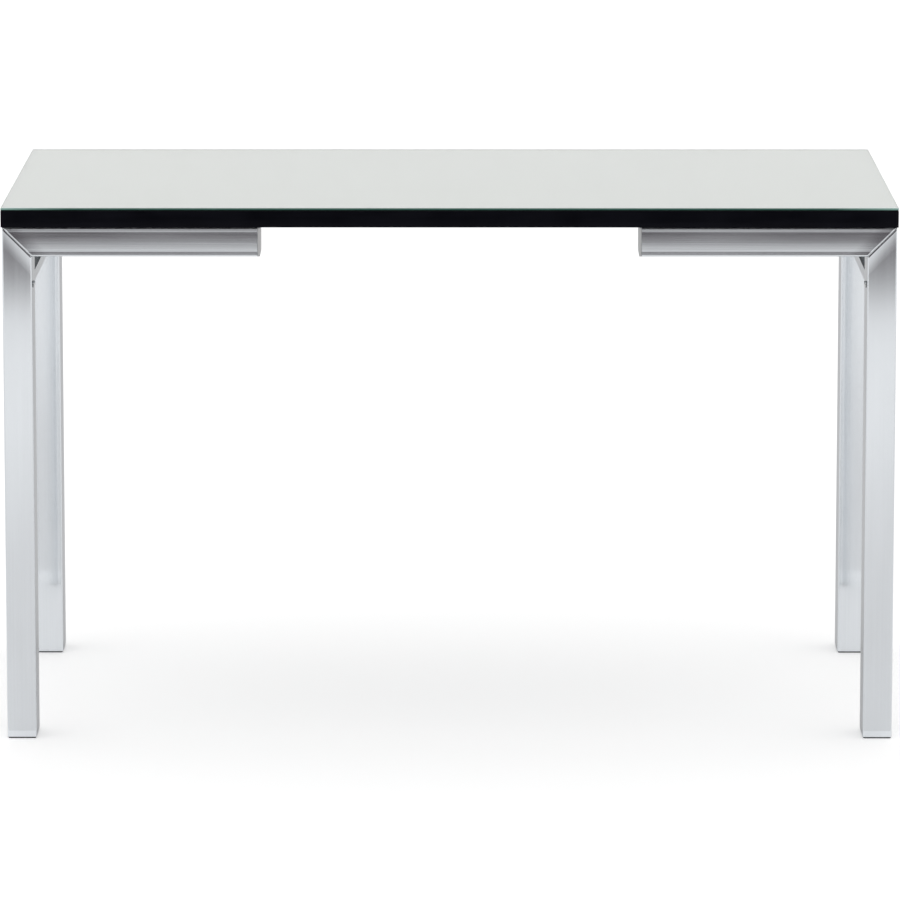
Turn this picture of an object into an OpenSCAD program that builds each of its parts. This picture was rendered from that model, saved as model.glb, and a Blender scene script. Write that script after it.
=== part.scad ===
// Glass-topped console table on four mitred aluminium corner frames.
// Each corner frame is a leg and a short arm of the same box section, joined
// by an angle key inside the mitre. The arms carry the board, and a flat bar laid
// flat ties the front and back leg at each end.
// Frame: +X along the table, -Y the front, +Z up, origin on the floor at the centre.

/* [Overall] */
// Length of the table top
top_w = 1200; // [900:10:1800]
// Depth of the table top, front to back
top_d = 655; // [450:5:900]
// Height from the floor to the top of the glass
table_h = 724; // [600:1:900]

/* [Top] */
// Thickness of the glass pane
glass_t = 4; // [3:0.5:8]
// Width of the ground arris on the glass edges
glass_arris = 0.6; // [0.3:0.1:1]
// Thickness of the pale backing film that bonds the glass to the board
film_t = 0.5; // [0.3:0.1:1]
// Set-back of the backing film from the edge of the board
film_inset = 1; // [0.5:0.5:5]
// Thickness of the board
board_t = 22; // [18:1:40]
// Thickness of the edge bands on the board
band_t = 1; // [0.5:0.1:3]

/* [Box section] */
// Narrow side of the box section, seen from the front
sec_w = 39.5; // [30:0.5:60]
// Wide side of the box section, front to back
sec_d = 65; // [45:1:90]
// Wall of the box section
wall = 3.5; // [2.5:0.5:5]
// Outer corner radius of the box section
sec_r = 2.5; // [0.5:0.1:3]

/* [Corner frames] */
// Set-back of the leg's outer side from the end of the top
leg_inset_x = 1.5; // [0:0.5:60]
// Set-back of the leg's front from the front edge of the top
leg_inset_y = 0.5; // [0:0.5:60]
// Length of an arm, from the leg's outer side to its cut end
arm_l = 342; // [250:1:420]
// Open joint at the mitre, measured along the leg
mitre_gap = 0.4; // [0.1:0.1:1]

/* [Corner keys] */
// Thickness of the angle key
key_t = 14; // [10:1:18]
// Reach of the key from the outer corner of the frame, along the arm
key_reach = 98; // [90:1:140]
// Distance of the arm's bolt from the leg's outer side
arm_bolt_in = 81; // [75:1:84]
// Gap between the key's foot and the end rail below it
key_gap = 2; // [1:0.5:4]
// Clearance between the key and the front and back walls
key_clear = 0.5; // [0.2:0.1:1]

/* [End rails] */
// Thickness of the flat bar, which lies flat
rail_h = 15; // [10:1:16]
// Drop from the underside of the board to the middle of the bar
rail_drop = 81; // [70:1:84]
// Length of bar beyond its bolt
rail_tail = 8; // [6:1:14]
// Clearance between the bar and the inside of the leg, and round the bar in its slot
rail_clear = 0.2; // [0.1:0.1:0.5]

/* [Bolts] */
// Thread diameter of the button-head bolts
bolt_d = 5; // [4:0.5:6]
// Head diameter of the button-head bolts
bolt_head_d = 9.5; // [7:0.5:11]
// Head height of the button-head bolts
bolt_head_h = 2.7; // [2:0.1:3.5]
// Length of the button-head bolts under the head
bolt_l = 16; // [12:1:20]
// Key size of the hex sockets
socket_af = 3; // [2.5:0.5:4]
// Clearance of a hole over its bolt, on the diameter
hole_clear = 0.4; // [0.2:0.1:1]
// Thread relief on the diameter, so that a bolt sits in its tapped hole
thread_relief = 0.1; // [0.05:0.05:0.2]

/* [Top fixings] */
// Thread diameter of the screws that hold the board
screw_d = 6; // [5:0.5:8]
// Head diameter of those screws
screw_head_d = 11; // [9:0.5:12]
// Head height of those screws
screw_head_h = 3.5; // [2.5:0.5:5]
// Length of those screws under the head
screw_l = 16; // [14:1:18]
// Diameter of the threaded inserts in the board
insert_d = 9.5; // [9:0.5:12]
// Length of the threaded inserts
insert_l = 13; // [10:1:14]
// Access hole under each screw, in the lower wall of the arm
access_d = 13; // [12:0.5:16]
// Distance of the first screw from the leg's outer side
screw_first = 130; // [120:1:160]
// Distance of the last screw from the arm's cut end
screw_last = 40; // [25:1:60]

/* [Feet and caps] */
// Thickness of the foot plate under a leg
foot_t = 2; // [1:0.5:6]
// Set-back of the foot plate from the leg's sides
foot_inset = 1.2; // [0.5:0.1:4]
// Height of the foot plug inside the leg
foot_plug_h = 18; // [12:1:40]
// Thickness of the arm's end cap
cap_t = 3; // [2:0.5:6]
// Depth of the cap's plug inside the arm
cap_plug_l = 12; // [8:1:18]
// Wall of the plugs
plug_wall = 2.5; // [1.5:0.5:4]
// Clearance of a plug inside the box section
plug_clear = 0.2; // [0.1:0.1:0.5]

/* [Hidden] */

// Heights of the layers of the top
board_z = table_h - glass_t - film_t - board_t;
film_z = board_z + board_t;
glass_z = film_z + film_t;

// Outer and inner side of a right-hand leg, and its middle
leg_out_x = top_w / 2 - leg_inset_x;
leg_in_x = leg_out_x - sec_w;
leg_mid_x = leg_out_x - sec_w / 2;
// Middle of a front leg, front to back
leg_mid_y = -top_d / 2 + leg_inset_y + sec_d / 2;
// Underside and cut end of a right-hand arm
arm_z = board_z - sec_w;
arm_end_x = leg_out_x - arm_l;
// Height of the end rails and of the bolts through them
rail_z = board_z - rail_drop;
// Inner side and width of a right-hand end rail, which fits inside the leg
rail_in_x = leg_in_x + wall + rail_clear;
rail_w = sec_w - 2 * wall - 2 * rail_clear;
// Half of the mitre joint
half_gap = mitre_gap / 2;
// Places of the bolt in the arm, and of the board screws
arm_bolt_x = leg_out_x - arm_bolt_in;
screw_xs = [leg_out_x - screw_first, arm_end_x + screw_last];
// Depth of the blind holes for the inserts, with room for the screw's tip
insert_hole = max(insert_l, screw_l - wall) + 1;
// Overshoot of cutting shapes
over = 1;

// Box section outline, w across and d deep, with rounded corners
module rounded_rect(w, d, r) {
    square([w - 2 * r, d], center = true);
    square([w, d - 2 * r], center = true);
    for (x = [-1, 1], y = [-1, 1])
        translate([x * (w / 2 - r), y * (d / 2 - r)]) circle(r = r, $fn = 32);
}

module box_section(l) {
    linear_extrude(l) difference() {
        rounded_rect(sec_w, sec_d, sec_r);
        square([sec_w - 2 * wall, sec_d - 2 * wall], center = true);
    }
}

// Turns a shape made for the front right corner to another corner
module corner(x_side, y_side) {
    mirror([x_side < 0 ? 1 : 0, 0, 0])
        mirror([0, y_side > 0 ? 1 : 0, 0])
            children();
}

module all_corners() {
    for (x_side = [-1, 1], y_side = [-1, 1])
        corner(x_side, y_side) children();
}

// Prism through the box section with its outline drawn in the mitre's plane:
// across from the leg's inner side, up from the arm's underside
module mitre_prism(points, depth) {
    translate([leg_in_x, leg_mid_y, arm_z])
        rotate([90, 0, 0])
            linear_extrude(depth, center = true) polygon(points);
}

// Hole along X through the leg's inner side, and along Z through the arm's underside
module leg_bolt_hole(d) {
    translate([leg_in_x - over, leg_mid_y, rail_z])
        rotate([0, 90, 0]) cylinder(h = bolt_l + 2 * over, d = d, $fn = 32);
}

module arm_bolt_hole(d) {
    translate([arm_bolt_x, leg_mid_y, arm_z - over])
        cylinder(h = wall + key_t + 2 * over, d = d, $fn = 32);
}

module glass_pane() {
    color("honeydew", 0.5) translate([0, 0, glass_z])
        hull() {
            translate([0, 0, glass_t / 2])
                cube([top_w, top_d, glass_t - 2 * glass_arris], center = true);
            translate([0, 0, glass_t / 2])
                cube([top_w - 2 * glass_arris, top_d - 2 * glass_arris, glass_t], center = true);
        }
}

module backing_film() {
    color("white") translate([0, 0, film_z + film_t / 2])
        cube([top_w - 2 * film_inset, top_d - 2 * film_inset, film_t], center = true);
}

module board() {
    color("black") difference() {
        translate([0, 0, board_z + board_t / 2])
            cube([top_w - 2 * band_t, top_d - 2 * band_t, board_t], center = true);
        all_corners() for (x = screw_xs)
            translate([x, leg_mid_y, board_z - over])
                cylinder(h = insert_hole + over, d = insert_d, $fn = 32);
    }
}

module edge_band_long(y_side) {
    color("black") translate([0, y_side * (top_d - band_t) / 2, board_z + board_t / 2])
        cube([top_w, band_t, board_t], center = true);
}

module edge_band_short(x_side) {
    color("black") translate([x_side * (top_w - band_t) / 2, 0, board_z + board_t / 2])
        cube([band_t, top_d - 2 * band_t, board_t], center = true);
}

module leg() {
    color("silver") difference() {
        translate([leg_mid_x, leg_mid_y, foot_t]) box_section(board_z - foot_t);
        mitre_prism([
            [-over, -over - half_gap], [sec_w + over, sec_w + over - half_gap],
            [sec_w + over, sec_w + 2 * over], [-over, sec_w + 2 * over]
        ], sec_d + 2 * over);
        leg_bolt_hole(bolt_d + hole_clear);
        // slot in the wall that faces the other leg, for the end rail
        translate([leg_in_x + wall, leg_mid_y + sec_d / 2 - wall - over, rail_z - rail_h / 2 - rail_clear])
            cube([sec_w - 2 * wall, wall + 2 * over, rail_h + 2 * rail_clear]);
    }
}

module arm() {
    color("silver") difference() {
        translate([arm_end_x, leg_mid_y, arm_z + sec_w / 2])
            rotate([0, 90, 0]) box_section(arm_l);
        mitre_prism([
            [-over, -over + half_gap], [sec_w + over, sec_w + over + half_gap],
            [sec_w + over, -2 * over], [-over, -2 * over]
        ], sec_d + 2 * over);
        arm_bolt_hole(bolt_d + hole_clear);
        for (x = screw_xs) translate([x, leg_mid_y, 0]) {
            translate([0, 0, arm_z - over]) cylinder(h = wall + 2 * over, d = access_d, $fn = 32);
            translate([0, 0, board_z - wall - over])
                cylinder(h = wall + 2 * over, d = screw_d + hole_clear, $fn = 32);
        }
    }
}

module angle_key() {
    key_d = sec_d - 2 * wall - 2 * key_clear;
    arm_limb = key_reach - sec_w;
    leg_limb = rail_drop - rail_h / 2 - key_gap - sec_w;
    color("gainsboro") difference() {
        mitre_prism([
            [wall, -leg_limb], [wall + key_t, -leg_limb], [wall + key_t, wall + key_t],
            [-arm_limb, wall + key_t], [-arm_limb, wall], [wall, wall]
        ], key_d);
        arm_bolt_hole(bolt_d);
    }
}

module end_cap() {
    plug_w = sec_w - 2 * wall - 2 * plug_clear;
    plug_d = sec_d - 2 * wall - 2 * plug_clear;
    color("lightgray") translate([arm_end_x, leg_mid_y, arm_z + sec_w / 2]) rotate([0, 90, 0]) {
        translate([0, 0, -cap_t]) linear_extrude(cap_t) rounded_rect(sec_w, sec_d, sec_r);
        linear_extrude(cap_plug_l) difference() {
            square([plug_w, plug_d], center = true);
            square([plug_w - 2 * plug_wall, plug_d - 2 * plug_wall], center = true);
        }
    }
}

module foot() {
    plug_w = sec_w - 2 * wall - 2 * plug_clear;
    plug_d = sec_d - 2 * wall - 2 * plug_clear;
    color("dimgray") translate([leg_mid_x, leg_mid_y, 0]) {
        linear_extrude(foot_t)
            rounded_rect(sec_w - 2 * foot_inset, sec_d - 2 * foot_inset, sec_r);
        translate([0, 0, foot_t]) linear_extrude(foot_plug_h) difference() {
            square([plug_w, plug_d], center = true);
            square([plug_w - 2 * plug_wall, plug_d - 2 * plug_wall], center = true);
        }
    }
}

module end_rail(x_side) {
    rail_l = -2 * leg_mid_y + 2 * rail_tail;
    color("silver") mirror([x_side < 0 ? 1 : 0, 0, 0]) difference() {
        translate([rail_in_x, -rail_l / 2, rail_z - rail_h / 2]) cube([rail_w, rail_l, rail_h]);
        for (y_side = [-1, 1]) corner(1, y_side) leg_bolt_hole(bolt_d);
    }
}

// Button-head bolt along +Z, its head's seat at 0 and the head below
module button_bolt() {
    rim = bolt_head_h / 4;
    color("lightsteelblue") {
        cylinder(h = bolt_l, d = bolt_d - thread_relief, $fn = 32);
        difference() {
            union() {
                translate([0, 0, -rim]) cylinder(h = rim, d = bolt_head_d, $fn = 32);
                translate([0, 0, -bolt_head_h])
                    cylinder(h = bolt_head_h - rim, d1 = bolt_head_d * 0.55, d2 = bolt_head_d, $fn = 32);
            }
            translate([0, 0, -bolt_head_h - over])
                cylinder(h = bolt_head_h * 0.6 + over, d = socket_af / cos(30), $fn = 6);
        }
    }
}

module leg_bolts() {
    all_corners() translate([leg_in_x, leg_mid_y, rail_z]) rotate([0, 90, 0]) button_bolt();
}

module arm_bolts() {
    all_corners() translate([arm_bolt_x, leg_mid_y, arm_z]) button_bolt();
}

module board_screws() {
    color("lightsteelblue") all_corners() for (x = screw_xs)
        translate([x, leg_mid_y, board_z - wall]) {
            cylinder(h = screw_l, d = screw_d - thread_relief, $fn = 32);
            difference() {
                translate([0, 0, -screw_head_h])
                    cylinder(h = screw_head_h, d = screw_head_d, $fn = 32);
                translate([0, 0, -screw_head_h - over])
                    cylinder(h = screw_head_h * 0.6 + over, d = socket_af / cos(30), $fn = 6);
            }
        }
}

module board_inserts() {
    color("goldenrod") all_corners() for (x = screw_xs)
        translate([x, leg_mid_y, board_z]) difference() {
            cylinder(h = insert_l, d = insert_d, $fn = 32);
            translate([0, 0, -over]) cylinder(h = insert_l + 2 * over, d = screw_d, $fn = 32);
        }
}

glass_pane();
backing_film();
board();
edge_band_long(-1);  // edge_band_front
edge_band_long(1);  // edge_band_back
edge_band_short(-1);  // edge_band_left
edge_band_short(1);  // edge_band_right
corner(-1, -1) leg();  // leg_front_left
corner(1, -1) leg();  // leg_front_right
corner(-1, 1) leg();  // leg_back_left
corner(1, 1) leg();  // leg_back_right
corner(-1, -1) arm();  // arm_front_left
corner(1, -1) arm();  // arm_front_right
corner(-1, 1) arm();  // arm_back_left
corner(1, 1) arm();  // arm_back_right
corner(-1, -1) angle_key();  // key_front_left
corner(1, -1) angle_key();  // key_front_right
corner(-1, 1) angle_key();  // key_back_left
corner(1, 1) angle_key();  // key_back_right
corner(-1, -1) end_cap();  // cap_front_left
corner(1, -1) end_cap();  // cap_front_right
corner(-1, 1) end_cap();  // cap_back_left
corner(1, 1) end_cap();  // cap_back_right
corner(-1, -1) foot();  // foot_front_left
corner(1, -1) foot();  // foot_front_right
corner(-1, 1) foot();  // foot_back_left
corner(1, 1) foot();  // foot_back_right
end_rail(-1);  // end_rail_left
end_rail(1);  // end_rail_right
leg_bolts();
arm_bolts();
board_screws();
board_inserts();
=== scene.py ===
"""Glass-topped console table on four mitred aluminium corner frames.

The file goes through the table in the order a fitter builds it: the corner frames,
what closes and joins them, then the board and the glass, and last the studio.
Lengths are in metres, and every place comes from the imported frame.
"""
import math

import bmesh
import bpy
from mathutils import Matrix, Vector


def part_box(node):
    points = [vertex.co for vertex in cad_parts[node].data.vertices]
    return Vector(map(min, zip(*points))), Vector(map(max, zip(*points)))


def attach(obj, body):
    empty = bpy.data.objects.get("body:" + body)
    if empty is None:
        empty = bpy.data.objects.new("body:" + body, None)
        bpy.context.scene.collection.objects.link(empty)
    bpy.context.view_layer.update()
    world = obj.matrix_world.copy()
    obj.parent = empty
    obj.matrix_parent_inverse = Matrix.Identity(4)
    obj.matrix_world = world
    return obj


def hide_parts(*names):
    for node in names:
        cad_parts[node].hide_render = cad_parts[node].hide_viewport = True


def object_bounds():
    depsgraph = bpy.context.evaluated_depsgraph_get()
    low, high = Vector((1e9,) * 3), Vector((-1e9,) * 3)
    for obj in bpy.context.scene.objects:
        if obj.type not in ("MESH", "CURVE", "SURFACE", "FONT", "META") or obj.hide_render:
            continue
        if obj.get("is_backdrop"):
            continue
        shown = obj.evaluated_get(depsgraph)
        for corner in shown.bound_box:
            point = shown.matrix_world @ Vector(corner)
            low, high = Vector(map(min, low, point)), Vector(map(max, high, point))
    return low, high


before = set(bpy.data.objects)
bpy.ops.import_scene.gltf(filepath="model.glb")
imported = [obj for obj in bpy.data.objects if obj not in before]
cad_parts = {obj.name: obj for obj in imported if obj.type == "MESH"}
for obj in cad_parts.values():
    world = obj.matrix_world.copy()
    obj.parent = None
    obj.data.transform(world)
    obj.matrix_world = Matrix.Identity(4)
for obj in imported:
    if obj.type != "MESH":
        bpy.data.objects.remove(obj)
cad_low, cad_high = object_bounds()


# ---------------------------------------------------------------------------
# Legs. Four lengths of one extruded aluminium box section, satin anodised, each
# cut square at the foot and at 45 degrees at the top. The faces aren't quite
# flat: a lip runs along both edges, then a shallow valley, then a slight crown.
# ---------------------------------------------------------------------------
wall = 0.0035            # wall of the box section
corner_radius = 0.0020   # outer corners of the box section
crown_rise = 0.00012     # height of the crown over the valleys, front and back faces
lip_rise = 0.00004       # height of the lips over the valleys
side_flatness = 0.15     # the side faces have only this share of that relief
valley_in = 0.0068       # distance of each valley from its edge
bead_in = 0.0050         # distance of the fine bead in the lip's slope from its edge
bead_rise = 0.000012     # height of that bead
bead_half = 0.0007       # half its width
edge_break = 0.0004      # corners taken off the square ends
mitre_gap = 0.0004       # the line left open between leg and arm
mitre_break = 0.0008     # length of the edges rubbed down at the mitre
mitre_dip = 0.0002       # depth of that rubbing down
mitre_swell = 0.00021    # how far the faces stand out beside the mitre
swell_reach = 0.026      # how far from the mitre the swelling dies out
rail_gap = 0.0002        # clearance round the end rail where it passes the wall
bolt_hole = 0.0054       # clearance hole for the M5 bolts
hidden_over = 0.002      # how far cutting tools run past the wall
sharp_angle = math.radians(32)

CORNERS = {
    "front_left": (-1, -1), "front_right": (1, -1),
    "back_left": (-1, 1), "back_right": (1, 1),
}


def face_sink(from_edge, half, relief):
    """How far a face lies under its crown at a distance from its nearer edge."""
    if from_edge >= valley_in:
        sink = crown_rise * ((half - from_edge) / (half - valley_in)) ** 2
    else:
        slope = 0.5 + 0.5 * math.cos(math.pi * from_edge / valley_in)
        bead = bead_rise * max(0.0, 1 - abs(from_edge - bead_in) / bead_half)
        sink = crown_rise - lip_rise * slope - bead
    lip_sink = crown_rise - lip_rise
    return lip_sink + (sink - lip_sink) * relief


def section_outline(width, depth):
    """Outline of the box section, going round its four crowned faces and corners."""
    lip_sink = crown_rise - lip_rise
    start = lip_sink + corner_radius
    bead_stops = [bead_in - bead_half, bead_in, bead_in + bead_half]
    near_edge = [start, 0.0028, 0.0033, 0.0039, *bead_stops, 0.0061, valley_in]
    points = []
    for quarter in range(4):
        along = Matrix.Rotation(math.pi / 2 * quarter, 2)
        length, across = (width, depth) if quarter % 2 == 0 else (depth, width)
        half = length / 2
        relief = 1.0 if quarter % 2 == 0 else side_flatness
        crown = [valley_in + (half - valley_in) * k / 7 for k in range(1, 8)]
        first_half = near_edge + crown
        stops = first_half + [length - s for s in reversed(first_half[:-1])]
        for stop in stops:
            sink = face_sink(min(stop, length - stop), half, relief)
            points.append(along @ Vector((stop - half, sink - across / 2)))
        for k in range(1, 6):
            turn = math.pi / 2 * k / 6
            points.append(along @ Vector((
                half - start + corner_radius * math.sin(turn),
                start - across / 2 - corner_radius * math.cos(turn),
            )))
    return points


def mark_sharp(mesh):
    """Smooth shading, but for the edges where faces meet at more than `sharp_angle`."""
    mesh.shade_smooth()
    mesh.set_sharp_from_angle(angle=sharp_angle)


def finish_mesh(name, bm):
    """Makes a piece from a bmesh."""
    bmesh.ops.remove_doubles(bm, verts=bm.verts, dist=1e-7)
    bmesh.ops.dissolve_degenerate(bm, edges=bm.edges, dist=1e-7)
    bmesh.ops.recalc_face_normals(bm, faces=bm.faces)
    mesh = bpy.data.meshes.new(name)
    bm.to_mesh(mesh)
    bm.free()
    mark_sharp(mesh)
    piece = bpy.data.objects.new(name, mesh)
    bpy.context.scene.collection.objects.link(piece)
    return piece


def join_rings(bm, rings, closed=False, capped=False):
    """Skins rings of equal count, going back to the first ring or capping both ends."""
    rows = [[bm.verts.new(point) for point in ring] for ring in rings]
    pairs = list(zip(rows, rows[1:])) + ([(rows[-1], rows[0])] if closed else [])
    for low, high in pairs:
        for k in range(len(low)):
            after = (k + 1) % len(low)
            bm.faces.new((low[k], low[after], high[after], high[k]))
    if capped:
        bm.faces.new(list(reversed(rows[0])))
        bm.faces.new(rows[-1])
    return rows


def box_length(name, width, depth, start, stop, place, tools):
    """A hollow length of the box section from `start` to its mitred end, whose outer side
    ends at `stop`. `place` turns (across, deep, along) into the table's frame."""
    outline = section_outline(width, depth)
    cavity = [
        Vector((
            max(wall - width / 2, min(width / 2 - wall, p.x)),
            max(wall - depth / 2, min(depth / 2 - wall, p.y)),
        ))
        for p in outline
    ]

    def mitre(across):
        """Where the 45 degree cut is at a place across the section."""
        return stop - (width / 2 - across) - mitre_gap / 2

    def ring(shape, along, shrink=0.0, swell=0.0):
        """The outline at `along`, a height or a function of the place across the section."""
        made = []
        for p in shape:
            across = p.x * (1 - 2 * shrink / width)
            deep = p.y * (1 - 2 * shrink / depth) * (1 + 2 * swell / depth)
            height = along(across) if callable(along) else along
            made.append(place @ Vector((across, deep, height)))
        return made

    rings = [ring(outline, start, edge_break), ring(outline, start + edge_break)]
    rings.append(ring(outline, lambda a: (start + mitre(a)) / 2))
    before_mitre = (swell_reach, 0.024, 0.020, 0.016, 0.012, 0.0085, 0.0055, 0.003, mitre_break)
    for back in before_mitre:
        swell = mitre_swell * (1 - back / swell_reach) ** 2
        rings.append(ring(outline, lambda a, b=back: mitre(a) - b, swell=swell))
    rings.append(ring(outline, mitre, mitre_dip, mitre_swell))
    rings.append(ring(cavity, mitre))
    rings.append(ring(cavity, start))
    bm = bmesh.new()
    join_rings(bm, rings, closed=True)
    piece = finish_mesh(name, bm)
    for tool in tools:
        cut(piece, tool)
    return piece


def round_tool(centre, axis, diameter, length):
    """A cutter for a drilled hole, its middle at `centre`."""
    bm = bmesh.new()
    turn = Vector((0, 0, 1)).rotation_difference(Vector(axis)).to_matrix().to_4x4()
    bmesh.ops.create_cone(
        bm, cap_ends=True, segments=40, radius1=diameter / 2, radius2=diameter / 2,
        depth=length, matrix=Matrix.Translation(centre) @ turn,
    )
    return finish_mesh("tool", bm)


def slot_tool(low, high):
    """A cutter for a slot between two corners, its own corners filed square."""
    bm = bmesh.new()
    bmesh.ops.create_cube(bm, size=1)
    size, middle = Vector(high) - Vector(low), (Vector(high) + Vector(low)) / 2
    bm.transform(Matrix.Translation(middle) @ Matrix.Diagonal((*size, 1)))
    return finish_mesh("tool", bm)


def cut(piece, tool):
    """Takes the tool's shape out of the piece, and throws the tool away."""
    change = piece.modifiers.new("cut", "BOOLEAN")
    change.operation = "DIFFERENCE"
    change.solver = "EXACT"
    change.object = tool
    shaped = piece.evaluated_get(bpy.context.evaluated_depsgraph_get())
    mesh = bpy.data.meshes.new_from_object(shaped)
    piece.modifiers.clear()
    mark_sharp(mesh)
    piece.data = mesh
    mesh.name = piece.name
    bpy.data.objects.remove(tool)


def node(tree, kind, inputs=None, **settings):
    """A new shader node. An input given as a socket is linked, and any other is set."""
    made = tree.nodes.new(kind)
    for key, value in settings.items():
        setattr(made, key, value)
    for key, value in (inputs or {}).items():
        if isinstance(value, bpy.types.NodeSocket):
            tree.links.new(value, made.inputs[key])
        else:
            made.inputs[key].default_value = value
    return made


def new_material(name, **constants):
    """A material with only a Principled shader, whose constant sockets are set here."""
    made = bpy.data.materials.new(name)
    made.use_nodes = True
    tree = made.node_tree
    tree.nodes.clear()
    shader = node(tree, "ShaderNodeBsdfPrincipled")
    for key, value in constants.items():
        shader.inputs[key.replace("_", " ").title().replace("Ior", "IOR")].default_value = value
    output = node(tree, "ShaderNodeOutputMaterial", {"Surface": shader.outputs[0]})
    output.location.x = 300
    return made, tree, shader


def new_group(name, inputs, outputs):
    """A shader node group. Inputs are {name: (kind, default)} and outputs {name: kind}."""
    tree = bpy.data.node_groups.new(name, "ShaderNodeTree")
    for key, (kind, default) in inputs.items():
        socket = tree.interface.new_socket(key, in_out="INPUT", socket_type="NodeSocket" + kind)
        socket.default_value = default
    for key, kind in outputs.items():
        tree.interface.new_socket(key, in_out="OUTPUT", socket_type="NodeSocket" + kind)
    return tree, node(tree, "NodeGroupInput").outputs, node(tree, "NodeGroupOutput").inputs


def use_group(tree, group, inputs):
    """Places a group in a material's tree and returns its outputs."""
    made = tree.nodes.new("ShaderNodeGroup")
    made.node_tree = group
    for key, value in inputs.items():
        made.inputs[key].default_value = value
    return made.outputs


def drawn_lines_group():
    """Fine lines that run the whole length of a drawn bar, with a slow cloud over them.
    Stretch is the number of features to a metre along X, Y and Z."""
    tree, given, wanted = new_group(
        "drawn lines",
        {"Stretch": ("Vector", (400, 400, 3)), "Cloud": ("Vector", (6, 6, 6)),
         "Tone": ("Float", 0.03), "Roughness": ("Float", 0.1), "Spread": ("Float", 0.02)},
        {"Tone": "Float", "Roughness": "Float", "Height": "Float"},
    )
    place = node(tree, "ShaderNodeTexCoord").outputs["Object"]
    fine_place = node(tree, "ShaderNodeVectorMath", {0: place, 1: given["Stretch"]},
                      operation="MULTIPLY").outputs[0]
    fine = node(tree, "ShaderNodeTexNoise", {"Vector": fine_place, "Scale": 1.0, "Detail": 4.0,
                                             "Roughness": 0.65}).outputs["Fac"]
    cloud_place = node(tree, "ShaderNodeVectorMath", {0: place, 1: given["Cloud"]},
                       operation="MULTIPLY").outputs[0]
    cloud = node(tree, "ShaderNodeTexNoise", {"Vector": cloud_place, "Scale": 1.0, "Detail": 3.0,
                                              "Roughness": 0.5}).outputs["Fac"]
    both = node(tree, "ShaderNodeMath", {0: fine, 1: cloud}, operation="ADD").outputs[0]
    swing = node(tree, "ShaderNodeMath", {0: both, 1: 1.0}, operation="SUBTRACT").outputs[0]
    tone = node(tree, "ShaderNodeMath", {0: swing, 1: given["Tone"], 2: 1.0},
                operation="MULTIPLY_ADD").outputs[0]
    rough = node(tree, "ShaderNodeMath", {0: swing, 1: given["Spread"], 2: given["Roughness"]},
                 operation="MULTIPLY_ADD").outputs[0]
    for key, value in (("Tone", tone), ("Roughness", rough), ("Height", fine)):
        tree.links.new(value, wanted[key])
    return tree


drawn_lines = drawn_lines_group()


def tint(tree, shader, colour, pattern, bump=0.00003):
    """Colours a material by a group's Tone, and gives it its Roughness and its relief."""
    plain = node(tree, "ShaderNodeRGB")
    plain.outputs[0].default_value = (*colour, 1)
    toned = node(tree, "ShaderNodeVectorMath", {0: plain.outputs[0], "Scale": pattern["Tone"]},
                 operation="SCALE").outputs[0]
    relief = node(tree, "ShaderNodeBump", {"Height": pattern["Height"], "Strength": 0.3,
                                           "Distance": bump}).outputs[0]
    for key, value in (("Base Color", toned), ("Roughness", pattern["Roughness"]),
                       ("Normal", relief)):
        tree.links.new(value, shader.inputs[key])


def satin_aluminium(name, lengthwise, colour, rough=0.095, tone=0.10, spread=0.05):
    """Satin anodised aluminium, its drawing lines and its blur lying across `lengthwise`."""
    lines_across, lines_along = 420.0, 2.5
    clouds_across, clouds_along = 28.0, 5.0
    stretch = [lines_across] * 3
    stretch["XYZ".index(lengthwise)] = lines_along
    cloud = [clouds_across] * 3
    cloud["XYZ".index(lengthwise)] = clouds_along
    made, tree, shader = new_material(
        name, metallic=1.0, specular_tint=(0.33, 0.34, 0.35, 1), anisotropic=0.9,
    )
    lines = use_group(tree, drawn_lines, {
        "Stretch": stretch, "Cloud": cloud, "Tone": tone, "Roughness": rough, "Spread": spread,
    })
    tint(tree, shader, colour, lines, bump=0.00005)
    tangent = node(tree, "ShaderNodeTangent", direction_type="RADIAL", axis=lengthwise).outputs[0]
    tree.links.new(tangent, shader.inputs["Tangent"])
    return made


def ride_and_replace(piece, material_made, slot, *nodes):
    """Gives a piece its material, and lets it stand for its CAD nodes."""
    piece.data.materials.clear()
    piece.data.materials.append(material_made)
    flat = piece.modifiers.new("flat faces", "WEIGHTED_NORMAL")
    flat.keep_sharp = True
    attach(piece, "root")
    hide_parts(*nodes)


aluminium_tone = (0.70, 0.726, 0.752)
leg_aluminium = satin_aluminium("leg_aluminium", "Z", aluminium_tone)
rail_low, rail_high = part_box("end_rail_right")
rail_z = (rail_low.z + rail_high.z) / 2
rail_thickness = rail_high.z - rail_low.z

for corner, (x_side, y_side) in CORNERS.items():
    low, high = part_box(f"leg_{corner}")
    leg_width, leg_depth = high.x - low.x, high.y - low.y
    middle_x, middle_y = (low.x + high.x) / 2, (low.y + high.y) / 2
    mirrored = Matrix.Diagonal((x_side, y_side, 1, 1))
    leg_place = Matrix.Translation((middle_x, middle_y, 0)) @ mirrored
    inner_x = middle_x - x_side * leg_width / 2
    wall_y = middle_y - y_side * (leg_depth - wall) / 2
    half_slot = Vector((leg_width / 2 - wall, (wall + hidden_over) / 2,
                        rail_thickness / 2 + rail_gap))
    slot_middle = Vector((middle_x, wall_y, rail_z))
    tools = [
        round_tool((inner_x + x_side * wall / 2, middle_y, rail_z), (1, 0, 0),
                   bolt_hole, wall + hidden_over),
        slot_tool(slot_middle - half_slot, slot_middle + half_slot),
    ]
    leg = box_length(f"leg_tube_{corner}", leg_width, leg_depth, low.z, high.z, leg_place, tools)
    ride_and_replace(leg, leg_aluminium, "frame", f"leg_{corner}")


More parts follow.
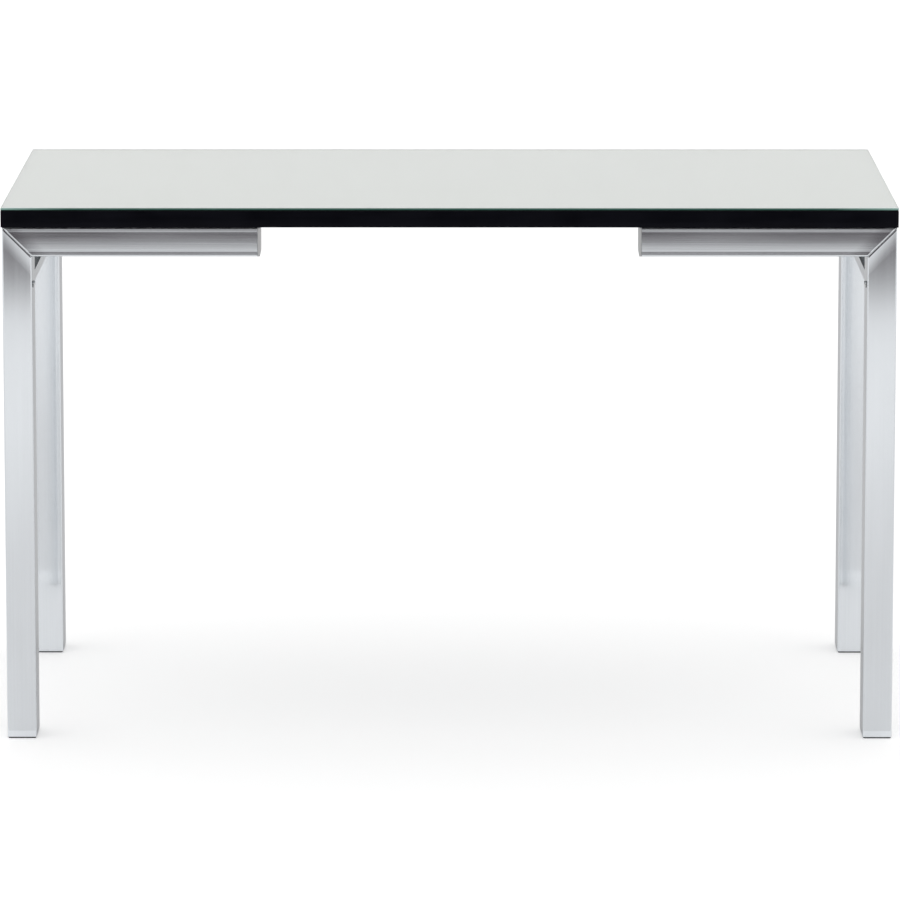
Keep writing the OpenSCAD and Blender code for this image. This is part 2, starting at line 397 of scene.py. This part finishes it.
# ---------------------------------------------------------------------------
# Arms. Short lengths of the same box section under the board, mitred to the
# legs. The lower wall has access holes for the hex key, and the upper wall
# the holes for the screws that hold the board.
# ---------------------------------------------------------------------------
access_hole = 0.013      # lets the hex key through to a screw
screw_hole = 0.0064
screw_head = 0.011
last_screw_in = 0.040    # distance of the last screw from the arm's cut end
bolt_head = 0.0095
first_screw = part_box("board_screws")[1].x - screw_head / 2
arm_bolt_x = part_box("arm_bolts")[1].x - bolt_head / 2
arm_aluminium = satin_aluminium("arm_aluminium", "X", aluminium_tone)

for corner, (x_side, y_side) in CORNERS.items():
    low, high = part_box(f"arm_{corner}")
    arm_height, arm_depth = high.z - low.z, high.y - low.y
    middle_y, middle_z = (low.y + high.y) / 2, (low.z + high.z) / 2
    arm_end = min(abs(low.x), abs(high.x))
    arm_mitre = max(abs(low.x), abs(high.x))
    arm_place = Matrix((
        (0, 0, x_side, 0), (0, y_side, 0, middle_y), (1, 0, 0, middle_z), (0, 0, 0, 1),
    ))
    tools = [round_tool((x_side * arm_bolt_x, middle_y, low.z + wall / 2), (0, 0, 1),
                        bolt_hole, wall + hidden_over)]
    for x in (first_screw, arm_end + last_screw_in):
        tools.append(round_tool((x_side * x, middle_y, low.z + wall / 2), (0, 0, 1),
                                access_hole, wall + hidden_over))
        tools.append(round_tool((x_side * x, middle_y, high.z - wall / 2), (0, 0, 1),
                                screw_hole, wall + hidden_over))
    arm = box_length(f"arm_tube_{corner}", arm_height, arm_depth, arm_end, arm_mitre,
                     arm_place, tools)
    ride_and_replace(arm, arm_aluminium, "frame", f"arm_{corner}")


# ---------------------------------------------------------------------------
# Angle keys. Sawn and milled aluminium angles inside the mitres. They can't be
# seen from outside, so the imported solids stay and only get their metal.
# ---------------------------------------------------------------------------
milled, tree, shader = new_material("milled_aluminium", metallic=1.0)
marks = use_group(tree, drawn_lines, {
    "Stretch": (900, 40, 900), "Cloud": (30, 30, 30), "Tone": 0.25, "Roughness": 0.42,
    "Spread": 0.2,
})
tint(tree, shader, (0.62, 0.62, 0.63), marks)
for corner in CORNERS:
    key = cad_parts[f"key_{corner}"]
    key.data.materials.clear()
    key.data.materials.append(milled)


# ---------------------------------------------------------------------------
# End rails. Flat aluminium bar laid flat between the front and back leg, its
# long edges lightly broken, each end let into the leg and held by one bolt.
# ---------------------------------------------------------------------------
def rounded_rectangle(width, depth, radius, steps=6):
    """A rectangle's outline about the origin, its corners drawn as arcs."""
    points = []
    for quarter in range(4):
        middle = Vector((width / 2 - radius, depth / 2 - radius))
        if quarter in (1, 2):
            middle.x = -middle.x
        if quarter in (2, 3):
            middle.y = -middle.y
        for k in range(steps + 1):
            turn = math.pi / 2 * (quarter + k / steps)
            points.append(middle + radius * Vector((math.cos(turn), math.sin(turn))))
    return points


def stacked(name, levels, place):
    """A solid skinned through rounded rectangles, each (height, width, depth, radius)."""
    bm = bmesh.new()
    rings = []
    for height, width, depth, radius in levels:
        outline = rounded_rectangle(width, depth, radius)
        rings.append([place @ Vector((p.x, p.y, height)) for p in outline])
    join_rings(bm, rings, capped=True)
    return finish_mesh(name, bm)


def softened(low, high, width, depth, radius, soft_low, soft_high, steps=4):
    """Levels of a block whose rims at either end are rounded over."""
    def rim_level(soft, k):
        """How far in from the end a step of the rounding is, and its outline there."""
        turn = math.pi / 2 * k / steps
        inset = soft * (1 - math.sin(turn))
        outline = (width - 2 * inset, depth - 2 * inset, max(radius - inset, radius / 3))
        return soft * (1 - math.cos(turn)), outline

    levels = []
    for k in range(steps + 1):
        rise, outline = rim_level(soft_low, k)
        levels.append((low + rise, *outline))
    for k in range(steps, -1, -1):
        rise, outline = rim_level(soft_high, k)
        levels.append((high - rise, *outline))
    return levels


rail_edge = 0.0005       # radius of the bar's long edges
tapped_hole = 0.005
tapped_depth = 0.0133    # how deep the leg's bolt goes into the bar's side
rail_aluminium = satin_aluminium("rail_aluminium", "Y", aluminium_tone, rough=0.22)
for side, x_side in (("left", -1), ("right", 1)):
    low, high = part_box(f"end_rail_{side}")
    rail_x = (low.x + high.x) / 2
    rail_width = high.x - low.x
    along_y = Matrix(((1, 0, 0, rail_x), (0, 0, 1, 0), (0, -1, 0, rail_z), (0, 0, 0, 1)))
    rail = stacked(f"rail_bar_{side}", softened(
        low.y, high.y, rail_width, rail_thickness, rail_edge, rail_edge, rail_edge), along_y)
    for leg_name in (f"leg_front_{side}", f"leg_back_{side}"):
        leg_low, leg_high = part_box(leg_name)
        hole_x = rail_x - x_side * (rail_width - tapped_depth + hidden_over) / 2
        hole_middle = (hole_x, (leg_low.y + leg_high.y) / 2, rail_z)
        cut(rail, round_tool(hole_middle, (1, 0, 0), tapped_hole, tapped_depth + hidden_over))
    ride_and_replace(rail, rail_aluminium, "rail", f"end_rail_{side}")


# ---------------------------------------------------------------------------
# Bolts. M5 button heads with a 3 mm hex socket, in zinc-plated steel. One in
# each leg's inner side holds the rail, and one under each arm holds the key.
# ---------------------------------------------------------------------------
head_height = 0.0027
socket_flats = 0.003
socket_depth = 0.0016
shank = 0.0049
bolt_length = 0.016
tip_chamfer = 0.0006
head_break = 0.0002      # the head's lower edge
socket_break = 0.0003    # the socket's mouth
turned_points = 24


def turned_ring(radius, height, flats=None):
    """A ring round Z, a circle, or a hexagon where its width across flats is given."""
    ring = []
    for k in range(turned_points):
        turn = 2 * math.pi * k / turned_points
        if flats:
            from_flat = turn % (math.pi / 3) - math.pi / 6
            radius = flats / 2 / math.cos(from_flat)
        ring.append(Vector((radius * math.cos(turn), radius * math.sin(turn), height)))
    return ring


def button_bolt(bm, seat, outward, length, head, rise):
    """A bolt in its hole, its head's underside at `seat` and its socket facing `outward`."""
    rim, land = rise / 4, head * 0.27
    rings = [
        turned_ring(shank / 2 - tip_chamfer, -length), turned_ring(shank / 2, tip_chamfer - length),
        turned_ring(shank / 2, 0), turned_ring(head / 2 - head_break, 0),
        turned_ring(head / 2, head_break), turned_ring(head / 2, rim),
    ]
    for k in range(1, 7):
        turn = math.pi / 2 * k / 6
        rings.append(turned_ring(land + (head / 2 - land) * math.cos(turn),
                                 rim + (rise - rim) * math.sin(turn)))
    rings.append(turned_ring(0, rise, socket_flats + socket_break))
    rings.append(turned_ring(0, rise - socket_break, socket_flats))
    rings.append(turned_ring(0, rise - socket_depth, socket_flats))
    turn = Vector((0, 0, 1)).rotation_difference(Vector(outward)).to_matrix().to_4x4()
    place = Matrix.Translation(seat) @ turn
    join_rings(bm, [[place @ p for p in ring] for ring in rings], capped=True)


zinc, tree, shader = new_material("zinc_plate", metallic=1.0)
plating = use_group(tree, drawn_lines, {
    "Stretch": (700, 700, 700), "Cloud": (160, 160, 160), "Tone": 0.22, "Roughness": 0.24,
    "Spread": 0.2,
})
tint(tree, shader, (0.56, 0.57, 0.58), plating)

bm_leg, bm_arm = bmesh.new(), bmesh.new()
for corner, (x_side, y_side) in CORNERS.items():
    low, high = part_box(f"leg_{corner}")
    leg_inner_x = low.x if x_side > 0 else high.x
    bolt_y = (low.y + high.y) / 2
    button_bolt(bm_leg, (leg_inner_x, bolt_y, rail_z), (-x_side, 0, 0),
                bolt_length, bolt_head, head_height)
    arm_low, arm_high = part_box(f"arm_{corner}")
    button_bolt(bm_arm, (x_side * arm_bolt_x, bolt_y, arm_low.z), (0, 0, -1),
                bolt_length, bolt_head, head_height)
ride_and_replace(finish_mesh("button_bolts_legs", bm_leg), zinc, "bolt", "leg_bolts")
ride_and_replace(finish_mesh("button_bolts_arms", bm_arm), zinc, "bolt", "arm_bolts")
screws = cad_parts["board_screws"]
screws.data.materials.clear()
screws.data.materials.append(zinc)


# ---------------------------------------------------------------------------
# Foot plates. Dark grey moulded plastic, pressed into the bottom of each leg
# by a hollow plug. The plate stands back a little from the leg's sides.
# ---------------------------------------------------------------------------
plug_wall = 0.0025
plug_gap = 0.0002
plug_corner = 0.0006
plug_lead_in = 0.001     # the taper that starts the plug into the tube
plate_radius = 0.0024
plate_soft, plate_joint = 0.0006, 0.0002     # roundings of the plate's lower and upper rim


def moulded_group():
    """The fine spark-eroded grain and the slow unevenness of a moulded part."""
    tree, given, wanted = new_group(
        "moulded grain",
        {"Grain": ("Float", 1400.0), "Tone": ("Float", 0.1), "Roughness": ("Float", 0.5)},
        {"Tone": "Float", "Roughness": "Float", "Height": "Float"},
    )
    place = node(tree, "ShaderNodeTexCoord").outputs["Object"]
    grain = node(tree, "ShaderNodeTexNoise", {"Vector": place, "Scale": given["Grain"],
                                              "Detail": 3.0}).outputs["Fac"]
    patch = node(tree, "ShaderNodeTexNoise", {"Vector": place, "Scale": 35.0,
                                              "Detail": 2.0}).outputs["Fac"]
    both = node(tree, "ShaderNodeMath", {0: grain, 1: patch}, operation="ADD").outputs[0]
    swing = node(tree, "ShaderNodeMath", {0: both, 1: 1.0}, operation="SUBTRACT").outputs[0]
    tone = node(tree, "ShaderNodeMath", {0: swing, 1: given["Tone"], 2: 1.0},
                operation="MULTIPLY_ADD").outputs[0]
    rough = node(tree, "ShaderNodeMath", {0: swing, 1: 0.2, 2: given["Roughness"]},
                 operation="MULTIPLY_ADD").outputs[0]
    for key, value in (("Tone", tone), ("Roughness", rough), ("Height", grain)):
        tree.links.new(value, wanted[key])
    return tree


moulded = moulded_group()
foot_plastic, tree, shader = new_material("foot_plastic", specular_ior_level=0.4)
grain = use_group(tree, moulded, {"Tone": 0.5, "Roughness": 0.55})
tint(tree, shader, (0.045, 0.047, 0.050), grain, bump=0.00004)
for corner in CORNERS:
    low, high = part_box(f"foot_{corner}")
    leg_low, leg_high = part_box(f"leg_{corner}")
    plate_top = leg_low.z
    width, depth = high.x - low.x, high.y - low.y
    plug_width = leg_high.x - leg_low.x - 2 * wall - 2 * plug_gap
    plug_depth = leg_high.y - leg_low.y - 2 * wall - 2 * plug_gap
    levels = softened(low.z, plate_top, width, depth, plate_radius, plate_soft, plate_joint)
    hollow = (plug_width - 2 * plug_wall, plug_depth - 2 * plug_wall, plug_corner)
    levels += [
        (plate_top, plug_width, plug_depth, plug_corner),
        (high.z - plug_lead_in, plug_width, plug_depth, plug_corner),
        (high.z, plug_width - plug_lead_in, plug_depth - plug_lead_in, plug_corner),
        (high.z, *hollow),
        (plate_top, *hollow),
    ]
    middle = Matrix.Translation(((low.x + high.x) / 2, (low.y + high.y) / 2, 0))
    foot = stacked(f"foot_plate_{corner}", levels, middle)
    ride_and_replace(foot, foot_plastic, "foot", f"foot_{corner}")


# ---------------------------------------------------------------------------
# End caps. Light grey moulded plastic caps that close the cut ends of the
# arms, with the arm's outline and a hollow plug inside it.
# ---------------------------------------------------------------------------
cap_radius = 0.0024
cap_soft = 0.0009
cap_joint = 0.00015      # the rim is broken where it meets the arm, and shows as a fine line
cap_plastic, tree, shader = new_material("cap_plastic", specular_ior_level=0.45)
grain = use_group(tree, moulded, {"Tone": 0.10, "Roughness": 0.42})
tint(tree, shader, (0.38, 0.382, 0.385), grain, bump=0.00003)
for corner, (x_side, y_side) in CORNERS.items():
    low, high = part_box(f"cap_{corner}")
    arm_low, arm_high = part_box(f"arm_{corner}")
    face = min(abs(low.x), abs(high.x))
    seat = min(abs(arm_low.x), abs(arm_high.x))
    plug_end = max(abs(low.x), abs(high.x))
    height, depth = high.z - low.z, high.y - low.y
    plug_height = height - 2 * wall - 2 * plug_gap
    plug_depth = depth - 2 * wall - 2 * plug_gap
    levels = softened(face, seat, height, depth, cap_radius, cap_soft, cap_joint)
    hollow = (plug_height - 2 * plug_wall, plug_depth - 2 * plug_wall, plug_corner)
    levels += [
        (seat, plug_height, plug_depth, plug_corner),
        (plug_end, plug_height, plug_depth, plug_corner),
        (plug_end, *hollow),
        (seat, *hollow),
    ]
    cap_place = Matrix((
        (0, 0, x_side, 0), (0, 1, 0, (low.y + high.y) / 2),
        (1, 0, 0, (low.z + high.z) / 2), (0, 0, 0, 1),
    ))
    cap = stacked(f"arm_cap_{corner}", levels, cap_place)
    ride_and_replace(cap, cap_plastic, "cap", f"cap_{corner}")


# ---------------------------------------------------------------------------
# Board. Black melamine-faced board with four thin edge bands, glued on and
# trimmed, the long ones running past the ends of the short ones. Brass
# inserts in its underside take the screws from the arms.
# ---------------------------------------------------------------------------
def black_melamine(name, lengthwise):
    """A black satin facing with a faint grain that runs `lengthwise`."""
    made, tree, shader = new_material(name, specular_ior_level=0.06)
    grain_across, grain_along = 260.0, 14.0
    stretch = [grain_across] * 3
    stretch["XYZ".index(lengthwise)] = grain_along
    grain = use_group(tree, drawn_lines, {
        "Stretch": stretch, "Cloud": (20, 20, 20), "Tone": 0.9, "Roughness": 0.40, "Spread": 0.25,
    })
    tint(tree, shader, (0.0031, 0.0032, 0.0057), grain, bump=0.00005)
    return made


band_edge = 0.00035      # radius the bands' edges are scraped to
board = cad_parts["board"]
board.data.materials.clear()
board.data.materials.append(black_melamine("board_face", "X"))
long_band = black_melamine("long_band", "X")
short_band = black_melamine("short_band", "Y")
for side in ("front", "back", "left", "right"):
    low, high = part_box(f"edge_band_{side}")
    middle, size = (low + high) / 2, high - low
    if side in ("front", "back"):
        turned = Matrix(((0, 0, 1), (1, 0, 0), (0, 1, 0)))
        length, thickness, band_material = size.x, size.y, long_band
    else:
        turned = Matrix(((1, 0, 0), (0, 0, 1), (0, 1, 0)))
        length, thickness, band_material = size.y, size.x, short_band
    band = stacked(f"band_{side}", softened(
        -length / 2, length / 2, thickness, size.z, band_edge, band_edge, band_edge),
        Matrix.Translation(middle) @ turned.to_4x4())
    ride_and_replace(band, band_material, "edge_band", f"edge_band_{side}")

brass, tree, shader = new_material("insert_brass", metallic=1.0)
turning = use_group(tree, drawn_lines, {
    "Stretch": (500, 500, 2500), "Tone": 0.2, "Roughness": 0.3,
})
tint(tree, shader, (0.72, 0.55, 0.28), turning)
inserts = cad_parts["board_inserts"]
inserts.data.materials.clear()
inserts.data.materials.append(brass)


# ---------------------------------------------------------------------------
# Backing film. The thin pale film between board and glass that gives the top
# its colour. The imported sheet stays, pale on top; its other sides are painted
# dark as shade in the gap between glass and board.
# ---------------------------------------------------------------------------
film_white, tree, shader = new_material("film_white", specular_ior_level=0.2)
mottle = use_group(tree, moulded, {"Grain": 300.0, "Tone": 0.03, "Roughness": 0.6})
tint(tree, shader, (0.55, 0.535, 0.505), mottle)
# Painted shade: every face of the film but the top is made black, for the shaded gap at the glass's
# edge.
facing = node(tree, "ShaderNodeTexCoord").outputs["Normal"]
upward = node(tree, "ShaderNodeSeparateXYZ", {0: facing}).outputs["Z"]
top_only = node(tree, "ShaderNodeMath", {0: upward, 1: 0.5}, operation="GREATER_THAN").outputs[0]
pale = shader.inputs["Base Color"].links[0].from_socket
sides_painted_dark = node(tree, "ShaderNodeVectorMath", {0: pale, "Scale": top_only},
              operation="SCALE").outputs[0]
tree.links.new(sides_painted_dark, shader.inputs["Base Color"])
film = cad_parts["backing_film"]
film.data.materials.clear()
film.data.materials.append(film_white)


# ---------------------------------------------------------------------------
# Glass pane. Float glass, polished flat, its edge ground and the two rims
# broken by a fine arris. Seen end on, the pane is a deep green. On the edge,
# painted light pales the green near the ends and painted shade darkens its foot;
# the upper arris carries a painted highlight and the lower arris painted shade.
# ---------------------------------------------------------------------------
arris = 0.0006
# dark_foot is painted shade: the lowest part of the edge is darkened where the black board shows
# through.
dark_foot = 0.0014       # the lowest part of the edge, where the black board shows through
dark_share = 0.07        # how much of the green is left there
# paler_reach sets where painted light begins to pale the edge towards the ends of the pane.
paler_reach = 0.09       # how far from the ends of the pane its edge begins to pale
glass_corner = 0.0015
glass_lift = 0.00002     # air between the pane and the film
low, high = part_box("glass_pane")
size = high - low
inner_width, inner_depth = size.x - 2 * arris, size.y - 2 * arris
pane = stacked("pane", [
    (low.z + glass_lift, inner_width, inner_depth, glass_corner - arris / 2),
    (low.z + arris, size.x, size.y, glass_corner),
    (high.z - arris, size.x, size.y, glass_corner),
    (high.z, inner_width, inner_depth, glass_corner - arris / 2),
], Matrix.Identity(4))

clear_glass, tree, shader = new_material(
    "clear_glass", transmission_weight=1.0, ior=1.52, base_color=(0.93, 0.97, 0.95, 1))
wipe_place = node(tree, "ShaderNodeTexCoord").outputs["Object"]
wipes = node(tree, "ShaderNodeTexNoise", {"Vector": wipe_place, "Scale": 7.0, "Detail": 5.0,
                                          "Distortion": 1.5}).outputs["Fac"]
wiped = node(tree, "ShaderNodeMapRange", {"Value": wipes, "From Min": 0.45, "From Max": 0.75,
                                          "To Min": 0.004, "To Max": 0.03}).outputs[0]
tree.links.new(wiped, shader.inputs["Roughness"])
# Plain see-through for shadow and diffuse rays, so that light reaches the film below
let_through = node(tree, "ShaderNodeBsdfTransparent", {"Color": (0.90, 0.94, 0.92, 1)}).outputs[0]
path = node(tree, "ShaderNodeLightPath").outputs
soft_ray = node(tree, "ShaderNodeMath", {0: path["Is Shadow Ray"], 1: path["Is Diffuse Ray"]},
                operation="MAXIMUM").outputs[0]
mixed = node(tree, "ShaderNodeMixShader", {0: soft_ray, 1: shader.outputs[0], 2: let_through})
surface = next(n for n in tree.nodes if n.type == "OUTPUT_MATERIAL").inputs["Surface"]
tree.links.new(mixed.outputs[0], surface)


def glass_edge_material(name, middle_colour, end_colour, **constants):
    """The green of glass seen through its length, with painted light paling it near the ends of the
    pane and painted shade darkening its foot.
    """
    made, tree, shader = new_material(name, **constants)
    place = node(tree, "ShaderNodeTexCoord").outputs["Object"]
    x = node(tree, "ShaderNodeSeparateXYZ", {0: place}).outputs["X"]
    far = node(tree, "ShaderNodeMath", {0: x}, operation="ABSOLUTE").outputs[0]
    # Painted light: the green pales towards the ends of the pane.
    near_end = node(tree, "ShaderNodeMapRange", {
        "Value": far, "From Min": size.x / 2 - paler_reach, "From Max": size.x / 2}).outputs[0]
    ripple = node(tree, "ShaderNodeTexNoise", {"Vector": place, "Scale": 60.0, "Detail": 3.0})
    uneven = node(tree, "ShaderNodeMath", {0: ripple.outputs["Fac"], 1: 0.24, 2: -0.12},
                  operation="MULTIPLY_ADD").outputs[0]
    amount = node(tree, "ShaderNodeMath", {0: near_end, 1: uneven}, operation="ADD",
                  use_clamp=True).outputs[0]
    colour = node(tree, "ShaderNodeMix", data_type="RGBA")
    tree.links.new(amount, colour.inputs[0])
    colour.inputs[6].default_value = (*middle_colour, 1)
    colour.inputs[7].default_value = (*end_colour, 1)
    # Painted shade: over the foot of the edge the colour darkens to dark_share.
    z = node(tree, "ShaderNodeSeparateXYZ", {0: place}).outputs["Z"]
    sink = node(tree, "ShaderNodeMapRange", {
        "Value": z, "From Min": low.z + dark_foot / 2, "From Max": low.z + dark_foot,
        "To Min": dark_share}).outputs[0]
    sunk = node(tree, "ShaderNodeVectorMath", {0: colour.outputs[2], "Scale": sink},
                operation="SCALE").outputs[0]
    tree.links.new(sunk, shader.inputs["Base Color"])
    grinding = use_group(tree, moulded, {"Grain": 2200.0, "Tone": 0.1, "Roughness": 0.22})
    bump = node(tree, "ShaderNodeBump", {"Height": grinding["Height"], "Strength": 0.3,
                                         "Distance": 0.00003}).outputs[0]
    tree.links.new(grinding["Roughness"], shader.inputs["Roughness"])
    tree.links.new(bump, shader.inputs["Normal"])
    return made


# The middle green is the glass's own tint; the paler end colour is painted light.
ground_edge = glass_edge_material(
    "glass_ground_edge", (0.042, 0.105, 0.085), (0.20, 0.34, 0.30), specular_ior_level=0.4)
# Painted highlight: the upper arris is made pale along the top rim of the pane.
upper_arris_painted_highlight = glass_edge_material(
    "glass_upper_arris", (0.62, 0.68, 0.65), (0.70, 0.78, 0.75), specular_ior_level=0.5)
# Painted shade: the lower arris is made near black where it faces the black board.
lower_arris_painted_shade = glass_edge_material(
    "glass_lower_arris", (0.002, 0.010, 0.008), (0.008, 0.026, 0.021), specular_ior_level=0.3)
ride_and_replace(pane, clear_glass, "glass", "glass_pane")
for extra in (ground_edge, upper_arris_painted_highlight, lower_arris_painted_shade):
    pane.data.materials.append(extra)
# Flat faces are clear glass, upright ones the ground edge, the upper arris its painted highlight
# and the lower arris its painted shade.
for face in pane.data.polygons:
    up = face.normal.z
    if abs(up) > 0.9:
        face.material_index = 0
    elif abs(up) < 0.1:
        face.material_index = 1
    else:
        face.material_index = 2 if up > 0 else 3


# ---------------------------------------------------------------------------
# The studio. A wide pale floor under a soft white sky. Three dark sheets in
# front of the table show only in reflections, and give the metal its dark bands.
# ---------------------------------------------------------------------------
def flat_sheet(name, low, high, height):
    """A stage sheet between two corners, at a height above the floor."""
    bm = bmesh.new()
    corners = [(low[0], low[1]), (high[0], low[1]), (high[0], high[1]), (low[0], high[1])]
    bm.faces.new([bm.verts.new((x, y, height)) for x, y in corners])
    made = finish_mesh(name, bm)
    made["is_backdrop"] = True
    return made


floor_half = 30
floor = flat_sheet("floor", (-floor_half, -floor_half), (floor_half, floor_half), 0.0)
floor_material, tree, shader = new_material(
    "pale_floor", roughness=0.6, specular_ior_level=0.2, emission_strength=0.37,
    emission_color=(1, 1, 1, 1), base_color=(0.8, 0.8, 0.8, 1),
)
floor.data.materials.append(floor_material)

# The flag lies on the floor. Its cover changes up to `flag_end` in front of the table
flag_start, flag_end, flag_length = 0.03, 8.0, 60
flag_half, flag_height = 12, 0.004
flag = flat_sheet("flag", (-flag_half, cad_low.y - flag_length),
                  (flag_half, cad_low.y - flag_start), flag_height)
flag_material, tree, shader = new_material("flag_cloth", base_color=(0.035, 0.02, 0.03, 1),
                                           roughness=1.0, specular_ior_level=0.0)
place = node(tree, "ShaderNodeTexCoord").outputs["Object"]
y = node(tree, "ShaderNodeSeparateXYZ", {0: place}).outputs["Y"]
distance = node(tree, "ShaderNodeMapRange", {
    "Value": y, "From Min": cad_low.y, "From Max": cad_low.y - flag_end}).outputs[0]
cover = node(tree, "ShaderNodeValToRGB", {"Fac": distance})
# How much the flag covers, at distances in front of the table
shades = [(0.0, 0.14), (0.7, 0.20), (1.3, 0.18), (2.05, 0.11), (2.6, 0.06), (3.4, 0.05),
          (3.9, 0.09), (4.2, 0.33), (4.5, 0.63), (4.9, 0.78), (6.2, 0.90), (8.0, 0.97)]
while len(cover.color_ramp.elements) < len(shades):
    cover.color_ramp.elements.new(0.5)
for stop, (where, dark) in zip(cover.color_ramp.elements, shades):
    stop.position = where / flag_end
    stop.color = (dark, dark, dark, 1)
tree.links.new(cover.outputs[0], shader.inputs["Alpha"])
flag.data.materials.append(flag_material)


def hung_sheet(name, half_width, bottom, top, in_front):
    """An upright sheet across the front of the table."""
    made = flat_sheet(name, (-half_width, bottom), (half_width, top), 0.0)
    made.data.transform(Matrix.Translation((0, cad_low.y - in_front, 0)) @
                        Matrix.Rotation(math.pi / 2, 4, "X"))
    return made


# A low dark backdrop behind the camera for the faces that lean back, and a narrow dark
# strip before the board that paints a dark reflection on the rounded upper edges of the arms
curtain_half, curtain_top, curtain_far = 14.0, 4.5, 30.0
curtain = hung_sheet("curtain", curtain_half, 0.0, curtain_top, curtain_far)
strip_before = 0.02
strip_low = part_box("board")[0].z + 0.001
strip_top = cad_high.z - 0.002
dark_reflection_strip = hung_sheet("dark_reflection_strip", cad_high.x, strip_low, strip_top, strip_before)
curtain_material, tree, shader = new_material(
    "curtain_cloth", base_color=(0.03, 0.03, 0.03, 1), roughness=1.0, specular_ior_level=0.0)
for sheet in (curtain, dark_reflection_strip):
    sheet.data.materials.append(curtain_material)
for sheet in (flag, curtain, dark_reflection_strip):
    sheet.visible_camera = False
    sheet.visible_diffuse = False
    sheet.visible_shadow = False
    sheet.visible_transmission = False

world = bpy.data.worlds.new("soft_sky")
world.use_nodes = True
bpy.context.scene.world = world
sky = world.node_tree.nodes["Background"].inputs
sky["Color"].default_value = (1.0, 1.0, 1.0, 1)
sky["Strength"].default_value = 0.93

bpy.context.scene.view_settings.view_transform = "Standard"

camera_sideways, camera_distance, camera_height = 0.01458, 8.4776, 1.82175
pitch_down, turn_left = 0.1666, 0.00165
camera_data = bpy.data.cameras.new("camera")
camera_data.lens = 255.913
camera_data.clip_end = 100
camera = bpy.data.objects.new("camera", camera_data)
bpy.context.scene.collection.objects.link(camera)
camera.location = (camera_sideways, cad_low.y - camera_distance, camera_height)
camera.rotation_euler = (math.pi / 2 - pitch_down, 0, turn_left)
bpy.context.scene.camera = camera

low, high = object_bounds()
